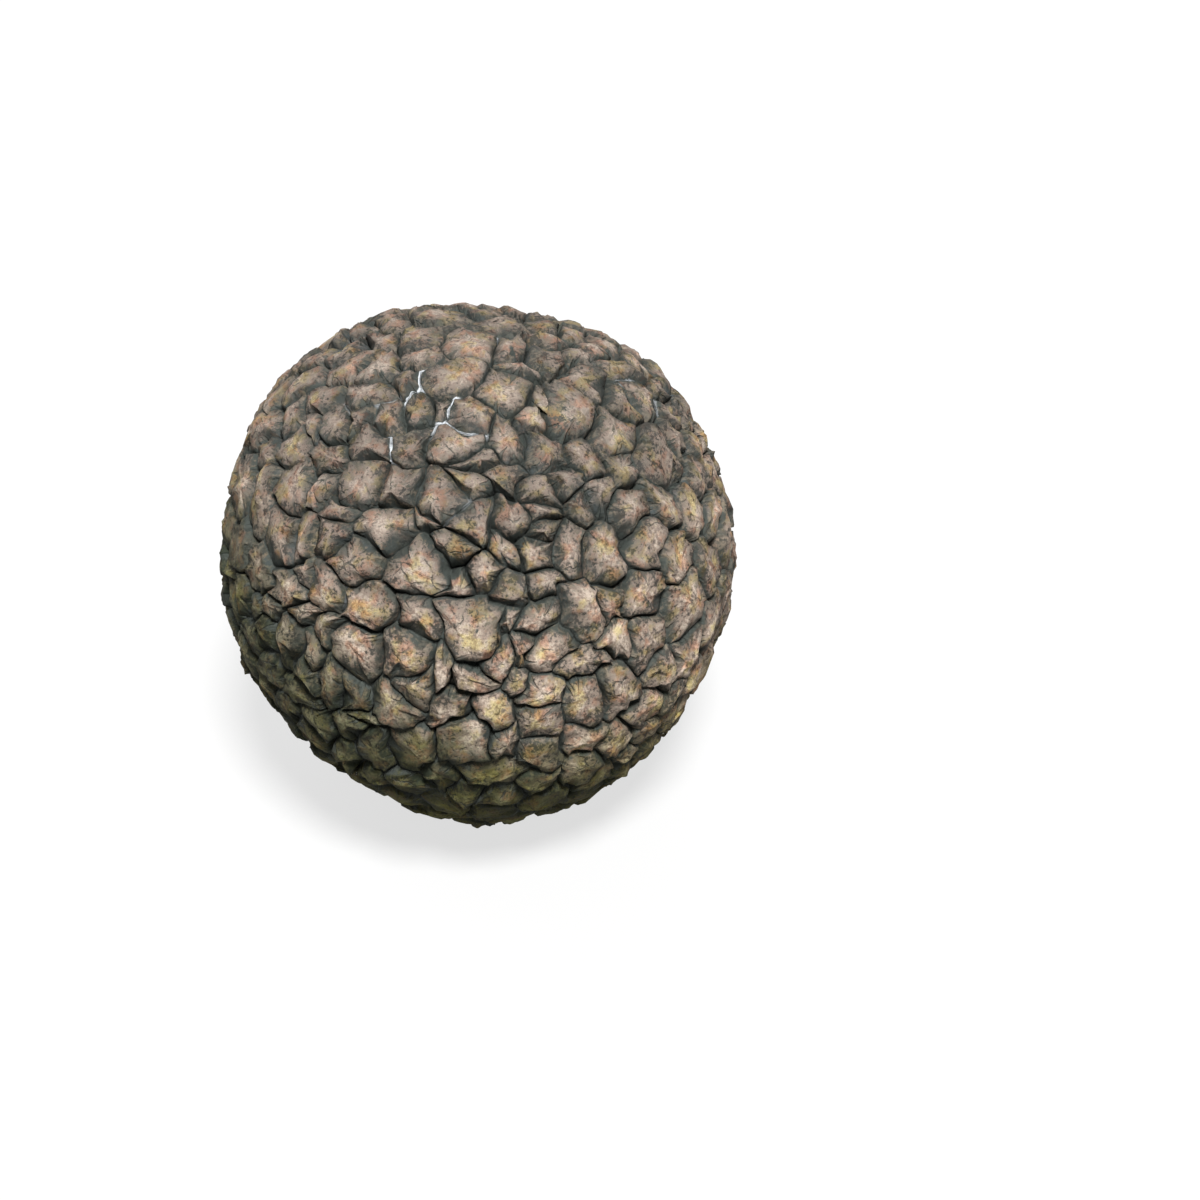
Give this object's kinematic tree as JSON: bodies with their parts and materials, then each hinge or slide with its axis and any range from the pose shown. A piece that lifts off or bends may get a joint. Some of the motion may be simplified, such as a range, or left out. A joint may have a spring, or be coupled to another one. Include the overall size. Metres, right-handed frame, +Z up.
{
  "type": "black truffle",
  "caption": "Whole black truffle: a lumpy, nearly round fungus covered in low polygonal pyramid warts with dark furrows between them, resting on a small worn flat spot.",
  "frame": {"origin": "middle of the bounding box's floor, on the surface that the truffle rests on", "axes": "+Z up, with the side that the picture shows facing -Y and the picture's right at +X"},
  "size_m": [0.0596, 0.0628, 0.0579],
  "materials": {
    "crust": "rough matt crust, warm brown on the wart tops and near black in the furrows"
  },
  "bodies": {
    "root": {"truffle": "crust"}
  },
  "joints": []
}
